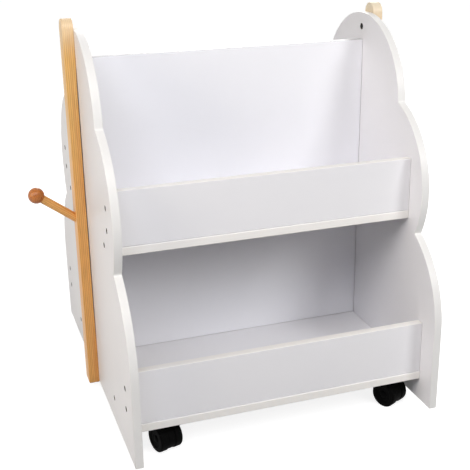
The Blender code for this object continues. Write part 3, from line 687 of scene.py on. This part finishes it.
def make_branch(side, pine, beech):
    """A peg that rises from the trunk, and the drilled ball on its end."""
    radius = PEG_DIAMETER / 2
    peg = rod("peg", radius, PEG_SEAT + PEG_REACH - BALL_SEAT, PEG_STEPS, peg_frame(side, -PEG_SEAT))
    add_piece(f"pine_peg_{side}", peg, [pine], ROOT, [f"branch_peg_{side}"])
    hole = radius + PEG_FIT
    ball_radius = BALL_DIAMETER / 2
    rim = math.acos(hole / ball_radius)
    profile = arc((0.0, 0.0), ball_radius, math.pi / 2, -rim, BALL_STEP)
    profile[0] = (0.0, ball_radius)
    profile += [(hole, -BALL_SEAT), (0.0, -BALL_SEAT)]
    ball = turned("ball", profile, PEG_STEPS, peg_frame(side, PEG_REACH))
    add_piece(f"beech_ball_{side}", ball, [beech], ROOT, [f"branch_ball_{side}"])


def socket_head(tree, given):
    """A chamfered head with its outer face at Z = 0, and a six-sided key hole sunk in it."""
    wall = add_node(tree, "ShaderNodeMath", {"operation": "SUBTRACT"},
                    {0: given["Head depth"], 1: given["Chamfer"]}).outputs[0]
    disc = add_node(tree, "GeometryNodeMeshCylinder", inputs={
        "Vertices": HEAD_SIDES, "Radius": given["Head radius"], "Depth": wall}).outputs
    raised = add_node(tree, "GeometryNodeExtrudeMesh", inputs={
        "Mesh": disc["Mesh"], "Selection": disc["Top"], "Offset Scale": given["Chamfer"]}).outputs
    narrow = add_node(tree, "ShaderNodeMath", {"operation": "SUBTRACT"},
                      {0: given["Head radius"], 1: given["Chamfer"]}).outputs[0]
    share = add_node(tree, "ShaderNodeMath", {"operation": "DIVIDE"},
                     {0: narrow, 1: given["Head radius"]}).outputs[0]
    head = add_node(tree, "GeometryNodeScaleElements", inputs={
        "Geometry": raised["Mesh"], "Selection": raised["Top"], "Scale": share}).outputs["Geometry"]
    reach = add_node(tree, "ShaderNodeMath", {"operation": "ADD"},
                     {0: given["Head depth"], 1: given["Chamfer"]}).outputs[0]
    below = add_node(tree, "ShaderNodeMath", {"operation": "MULTIPLY"}, {0: reach, 1: -0.5}).outputs[0]
    lowered = add_node(tree, "ShaderNodeCombineXYZ", inputs={"Z": below}).outputs["Vector"]
    head = add_node(tree, "GeometryNodeTransform", inputs={
        "Geometry": head, "Translation": lowered}).outputs["Geometry"]
    key_depth = add_node(tree, "ShaderNodeMath", {"operation": "MULTIPLY"},
                         {0: given["Key depth"], 1: 2.0}).outputs[0]
    key = add_node(tree, "GeometryNodeMeshCylinder", inputs={
        "Vertices": KEY_SIDES, "Radius": given["Key radius"], "Depth": key_depth}).outputs["Mesh"]
    return add_node(tree, "GeometryNodeMeshBoolean", {"operation": "DIFFERENCE", "solver": "EXACT"},
                    {"Mesh 1": head, "Mesh 2": key}).outputs["Mesh"]


def socket_screw_tree():
    """Socket screws on points: each a head that faces its point's own way."""
    tree = bpy.data.node_groups.new("socket_screws", "GeometryNodeTree")
    tree.interface.new_socket("Places", in_out="INPUT", socket_type="NodeSocketGeometry")
    for size in PANEL_SCREW:
        tree.interface.new_socket(size, in_out="INPUT", socket_type="NodeSocketFloat")
    tree.interface.new_socket("Finish", in_out="INPUT", socket_type="NodeSocketMaterial")
    tree.interface.new_socket("Screws", in_out="OUTPUT", socket_type="NodeSocketGeometry")
    given = add_node(tree, "NodeGroupInput").outputs
    facing = add_node(tree, "GeometryNodeInputNamedAttribute", {"data_type": "FLOAT_VECTOR"},
                      {"Name": "facing"})
    turn = add_node(tree, "FunctionNodeAlignRotationToVector", {"axis": "Z"},
                    {"Vector": facing.outputs["Attribute"]})
    placed = add_node(tree, "GeometryNodeInstanceOnPoints", inputs={
        "Points": given["Places"], "Instance": socket_head(tree, given),
        "Rotation": turn.outputs["Rotation"]})
    solid = add_node(tree, "GeometryNodeRealizeInstances", inputs={"Geometry": placed.outputs["Instances"]})
    finished = add_node(tree, "GeometryNodeSetMaterial", inputs={
        "Geometry": solid.outputs["Geometry"], "Material": given["Finish"]})
    add_node(tree, "NodeGroupOutput", inputs={"Screws": finished.outputs["Geometry"]})
    return tree


def make_screws(name, tree, places, sizes, finish, nodes):
    """One piece of all the screws of a kind, on the points where they sit."""
    mesh = bpy.data.meshes.new(name)
    mesh.from_pydata([place for place, _ in places], [], [])
    facing = mesh.attributes.new("facing", "FLOAT_VECTOR", "POINT")
    for value, (_, direction) in zip(facing.data, places):
        value.vector = direction
    points = in_scene(mesh)
    modifier = points.modifiers.new("screws", "NODES")
    modifier.node_group = tree
    identifiers = {item.name: item.identifier for item in tree.interface.items_tree
                   if item.in_out == "INPUT"}
    for size, value in sizes.items():
        modifier[identifiers[size]] = value
    modifier[identifiers["Finish"]] = finish
    screws = evaluated_mesh(points)
    screws.materials.clear()      # the tree leaves an empty finish before the one it sets
    add_piece(name, screws, [finish], ROOT, nodes)


def castor_frame(end, side):
    """The castor's own frame: origin on the floor under the swivel axis, X along the axle."""
    swivel = JOINTS[f"swivel_turn_{end}_{side}"]
    axle = JOINTS[f"wheel_roll_{end}_{side}_left"]
    turn = math.atan2(axle["axis"][1], axle["axis"][0])
    return Matrix.Translation((*swivel["pos_m"][:2], 0.0)) @ Matrix.Rotation(turn, 4, "Z")


def castor_trail():
    """How far the axle lies ahead of the swivel axis."""
    swivel = JOINTS["swivel_turn_front_left"]["pos_m"]
    axle = JOINTS["wheel_roll_front_left_left"]["pos_m"]
    return math.hypot(axle[0] - swivel[0], axle[1] - swivel[1])


def hood_mesh(axle):
    """The curved hood over both wheels, with rounded edges, about the axle's (Y, Z) place."""
    outline = arc(axle, HOOD_OUTER, HOOD_START, HOOD_END, HOOD_STEP)
    outline += arc(axle, HOOD_INNER, HOOD_END, HOOD_START, HOOD_STEP)
    half = WHEEL_WIDTH + WHEEL_GAP / 2
    shape = plate_shape(outline, -half, half)
    ends = [edge for edge in shape.edges
            if edge.calc_length() > half and edge.calc_face_angle() > SHARP_FROM]
    round_edges(shape, set(rim_edges(shape) + ends), HOOD_ROUND, EDGE_STEPS)
    return mesh_from(shape, "hood")


def web_mesh(axle):
    """The disc between the wheels, which reaches into the hood along its arc."""
    middle = (HOOD_INNER + HOOD_OUTER) / 2
    start, end = HOOD_START + HOOD_LAP, HOOD_END - HOOD_LAP
    outline = arc(axle, middle, start, end, HOOD_STEP)
    outline += arc(axle, WEB_RADIUS, end, start + 2 * math.pi, HOOD_STEP)
    return mesh_from(plate_shape(outline, -WEB_WIDTH / 2, WEB_WIDTH / 2), "web")


def castor_body_mesh():
    """Hood, web, swivel boss and stub axles in one moulding, drilled for the king pin."""
    axle = (-castor_trail(), WHEEL_RADIUS)
    stub = WHEEL_GAP / 2 + AXLE_HOLE_DEPTH - AXLE_FIT
    boss_place = Matrix.Translation((0, 0, BOSS_FOOT))
    half_step = Matrix.Rotation(math.pi / BOSS_STEPS, 4, "Z")     # keeps the bore's edges off the boss's
    bore_place = Matrix.Translation((0, 0, PIN_HOLE_FOOT)) @ half_step
    boss = rod("boss", BOSS_RADIUS, BOSS_TOP - BOSS_FOOT, BOSS_STEPS, boss_place)
    stubs = rod("stubs", AXLE_RADIUS, 2 * stub, BOSS_STEPS, pointing((-stub, *axle), (1, 0, 0)))
    bore = rod("bore", PIN_HOLE_RADIUS, BOSS_TOP, BOSS_STEPS, bore_place)
    body = combined(hood_mesh(axle), web_mesh(axle), "UNION")
    for tool, operation in ((boss, "UNION"), (stubs, "UNION"), (bore, "DIFFERENCE")):
        body = combined(body, tool, operation)
    return body


def wheel_mesh():
    """A wheel about Z with its inner face at Z = 0: rounded tread, ringed outer face and a hub cap."""
    shoulder = (WHEEL_RADIUS - WHEEL_ROUND, WHEEL_WIDTH - WHEEL_ROUND)
    hole = AXLE_RADIUS + AXLE_FIT
    profile = [(radius * MM, WHEEL_WIDTH - depth * MM) for radius, depth in HUB_CAP + WHEEL_DISH]
    profile += arc(shoulder, WHEEL_ROUND, math.pi / 2, 0.0, TREAD_STEP)
    profile += [(WHEEL_RADIUS, WHEEL_CHAMFER), (WHEEL_RADIUS - WHEEL_CHAMFER, 0.0), (hole, 0.0),
                (hole, AXLE_HOLE_DEPTH), (0.0, AXLE_HOLE_DEPTH)]
    return turned("wheel", profile, WHEEL_STEPS)


def make_castors(nylon, steel):
    body, wheel = castor_body_mesh(), wheel_mesh()
    for end in ENDS:
        for side in SIDES:
            name = f"{end}_{side}"
            place = castor_frame(end, side)
            shell = body.copy()
            shell.transform(place)
            add_piece(f"castor_hood_{name}", shell, [nylon], f"swivel_{name}",
                      [f"castor_body_{name}"])
            for wheel_side, sign in SIDES.items():
                hub = Vector((sign * WHEEL_GAP / 2, -castor_trail(), WHEEL_RADIUS))
                tyre = wheel.copy()
                tyre.transform(place @ pointing(hub, (sign, 0, 0)))
                add_piece(f"castor_tyre_{name}_{wheel_side}", tyre, [nylon], f"wheel_{name}_{wheel_side}",
                          [f"castor_wheel_{name}_{wheel_side}"])
            plate = frame["nodes"][f"castor_plate_{name}"]
            plate.data.materials.clear()
            plate.data.materials.append(steel)


def plate_screw_places():
    """Four screws in each castor plate, looking down."""
    places = []
    for end in ENDS:
        for side in SIDES:
            low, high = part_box(f"castor_plate_{end}_{side}")
            centre = (low + high) / 2
            underside = high.z - PLATE_THICKNESS
            for x in (-PLATE_HOLE_REACH, PLATE_HOLE_REACH):
                for y in (-PLATE_HOLE_REACH, PLATE_HOLE_REACH):
                    place = Vector((centre.x + x, centre.y + y, underside - PLATE_HEAD_RISE))
                    places.append((place, Vector((0, 0, -1))))
    return places


def make_fasteners(zinc, black_steel):
    tree = socket_screw_tree()
    make_screws("panel_screws", tree, sunk(fastener_places("screw_", OUTWARD)), PANEL_SCREW, zinc,
                nodes_named("screw_"))
    make_screws("trunk_bolts", tree, fastener_places("trunk_bolt_", INWARD), TRUNK_BOLT, black_steel,
                nodes_named("trunk_bolt_"))
    make_screws("castor_plate_screws", tree, plate_screw_places(), PLATE_SCREW, zinc,
                [])


def seen_directly(tree):
    """1 for what the camera, a reflection or clear glass shows, 0 for what only lights other surfaces."""
    rays = add_node(tree, "ShaderNodeLightPath").outputs
    seen = add_node(tree, "ShaderNodeMath", {"operation": "MAXIMUM"},
                    {0: rays["Is Camera Ray"], 1: rays["Is Glossy Ray"]}).outputs[0]
    return add_node(tree, "ShaderNodeMath", {"operation": "MAXIMUM"},
                    {0: seen, 1: rays["Is Transmission Ray"]}).outputs[0]


def studio_floor():
    """Matt studio paper: it throws back half the light, and shows as white paper with the object's shadow,
    fading to plain white further out."""
    material, tree = new_material("matt_studio_paper")
    place = add_node(tree, "ShaderNodeTexCoord").outputs["Object"]
    reach = add_node(tree, "ShaderNodeVectorMath", {"operation": "LENGTH"}, {0: place}).outputs["Value"]
    lift = add_node(tree, "ShaderNodeMapRange", {"interpolation_type": "SMOOTHSTEP"}, {
        "Value": reach, "From Min": FLOOR_SHADED, "From Max": FLOOR_WHITE,
        "To Min": FLOOR_LIFT, "To Max": 1.0}).outputs["Result"]
    paper = add_node(tree, "ShaderNodeBsdfDiffuse", inputs={"Color": linear("#B0B0B0")}).outputs["BSDF"]
    glow = add_node(tree, "ShaderNodeEmission", inputs={"Strength": lift}).outputs["Emission"]
    shown = add_node(tree, "ShaderNodeAddShader", inputs={0: paper, 1: glow}).outputs["Shader"]
    surface = add_node(tree, "ShaderNodeMixShader", inputs={0: seen_directly(tree), 1: paper, 2: shown})
    add_node(tree, "ShaderNodeOutputMaterial", inputs={"Surface": surface.outputs["Shader"]})
    return material


def make_floor():
    shape = bmesh.new()
    bmesh.ops.create_grid(shape, x_segments=1, y_segments=1, size=FLOOR_SIZE / 2)
    floor = in_scene(mesh_from(shape, "floor"))
    floor.data.materials.append(studio_floor())


def make_lamps():
    for name, lamp in LAMPS.items():
        light = bpy.data.lights.new(name, "AREA")
        light.shape = "DISK"
        light.size = lamp["size"]
        light.energy = lamp["power"]
        light.color = linear(lamp["colour"])[:3]
        place = Vector(lamp["place"])
        holder = bpy.data.objects.new(name, light)
        holder.matrix_world = pointing(place, place - LAMP_AIM)
        bpy.context.scene.collection.objects.link(holder)


def make_sky():
    """Even white light from all round, and plain white where the camera or a reflection sees past the
    floor."""
    world = bpy.data.worlds.new("studio")
    world.use_nodes = True
    tree = world.node_tree
    tree.nodes.clear()
    strength = add_node(tree, "ShaderNodeMapRange",
                        inputs={"Value": seen_directly(tree), "To Min": SKY_STRENGTH, "To Max": 1.0})
    sky = add_node(tree, "ShaderNodeBackground",
                   inputs={"Color": linear("#FFFFFF"), "Strength": strength.outputs["Result"]})
    add_node(tree, "ShaderNodeOutputWorld", inputs={"Surface": sky.outputs["Background"]})
    bpy.context.scene.world = world


def make_camera():
    forward = Vector((math.sin(CAMERA_YAW) * math.cos(CAMERA_PITCH),
                      math.cos(CAMERA_YAW) * math.cos(CAMERA_PITCH), -math.sin(CAMERA_PITCH)))
    level = Vector((math.cos(CAMERA_YAW), -math.sin(CAMERA_YAW), 0.0))
    above = level.cross(forward)
    right = level * math.cos(CAMERA_ROLL) + above * math.sin(CAMERA_ROLL)
    up = above * math.cos(CAMERA_ROLL) - level * math.sin(CAMERA_ROLL)
    lens = bpy.data.cameras.new("camera")
    lens.sensor_fit = "HORIZONTAL"
    lens.sensor_width = CAMERA_SENSOR
    lens.lens = CAMERA_LENS
    camera = bpy.data.objects.new("camera", lens)
    turn = Matrix((right, up, -forward)).transposed().to_4x4()
    camera.matrix_world = Matrix.Translation(CAMERA_PLACE) @ turn
    bpy.context.scene.collection.objects.link(camera)
    bpy.context.scene.camera = camera


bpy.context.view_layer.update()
bpy.context.scene.view_settings.view_transform = "Standard"

face_finish = lacquered_fibreboard("lacquered_board_face", "#F1F0F2", "#EDECEF")
# brighter and warmer than the faces: partly the edge banding's own white, partly painted light
edge_finish = lacquered_fibreboard("lacquered_board_edge_banding_and_painted_light", "#F9F6F2", "#F6F3EF")
# a shade darker than the boards' edges: painted shade on the side panels' edges
panel_edge_shade_finish = lacquered_fibreboard("lacquered_panel_edge_painted_shade", "#EEEDEB", "#EBEAE8")
# lighter and cooler than the other faces: painted light on the divider
divider_light_finish = lacquered_fibreboard("lacquered_divider_face_painted_light", "#F6F6FA", "#F3F3F7")
# a darker grey than the faces, on the divider's edges
divider_edge_finish = lacquered_fibreboard("darker_grey_divider_edge", "#CFCDCE", "#C6C4C5")
# darker grey on the boards' undersides and lower rounded edges: painted shade under them
underside_shade_finish = lacquered_fibreboard("lacquer_with_painted_underside_shade", "#A09B98", "#96918E")
drilled_shade_finish = drilled_fibreboard_painted_shade("drilled_fibreboard_painted_shade")
pine_shade_finish = sawn_pine_painted_shade("sawn_pine_painted_shade")
beech = stained_beech("stained_turned_beech")
zinc = plated_steel("bright_zinc_plated_steel", "#C9CBCE", "#A9ABB0", 0.28, 0.42)
black_steel = plated_steel("black_oxide_steel", "#4A4A4C", "#2E2E30", 0.35, 0.5)
nylon = moulded_nylon("moulded_nylon")

for node in BOARDS:
    if node == "centre_divider":
        make_board(node, [divider_light_finish, divider_edge_finish])
    else:
        make_board(node, [face_finish, edge_finish, underside_shade_finish])
for side, sign in SIDES.items():
    # each trunk's top turns paler by its own share: a painted highlight
    trunk_pine = lacquered_pine(f"lacquered_pine_trunk_painted_highlight_{side}", top_highlight_share=TOP_HIGHLIGHT_SHARE[side])
    peg_pine = lacquered_pine(f"lacquered_pine_peg_{side}", turn=-sign * (math.pi / 2 - PEG_ANGLE))
    make_side_panel(side, [face_finish, panel_edge_shade_finish, drilled_shade_finish])
    make_trunk(side, [trunk_pine, pine_shade_finish])
    make_branch(side, peg_pine, beech)
make_fasteners(zinc, black_steel)
make_castors(nylon, black_steel)
make_floor()
make_lamps()
make_sky()
make_camera()
